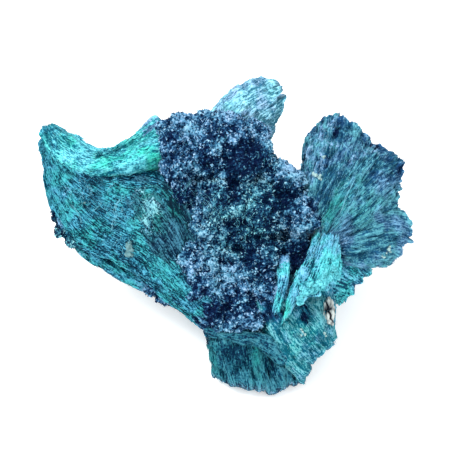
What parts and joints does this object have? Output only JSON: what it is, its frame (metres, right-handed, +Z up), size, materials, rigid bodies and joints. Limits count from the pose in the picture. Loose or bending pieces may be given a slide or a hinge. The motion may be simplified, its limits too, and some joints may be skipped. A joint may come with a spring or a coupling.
{
  "type": "fibrous malachite specimen",
  "caption": "Natural cluster of silky malachite fibre sheaves fanning from one root round a dark velvet crystal crust, resting on the flat break of its root.",
  "frame": {"origin": "on the flat break of the root that the specimen rests on, straight below the middle of its leaning show face", "axes": "+Z up, square to the break; +X to the right of the show face, along its longest extent; +Y to the back"},
  "size_m": [0.0757, 0.0561, 0.0383],
  "materials": {
    "malachite": "silky fibrous teal sheaves with a dark blue velvet crust of crystal tips"
  },
  "bodies": {
    "root": {"malachite": "malachite"}
  },
  "joints": []
}
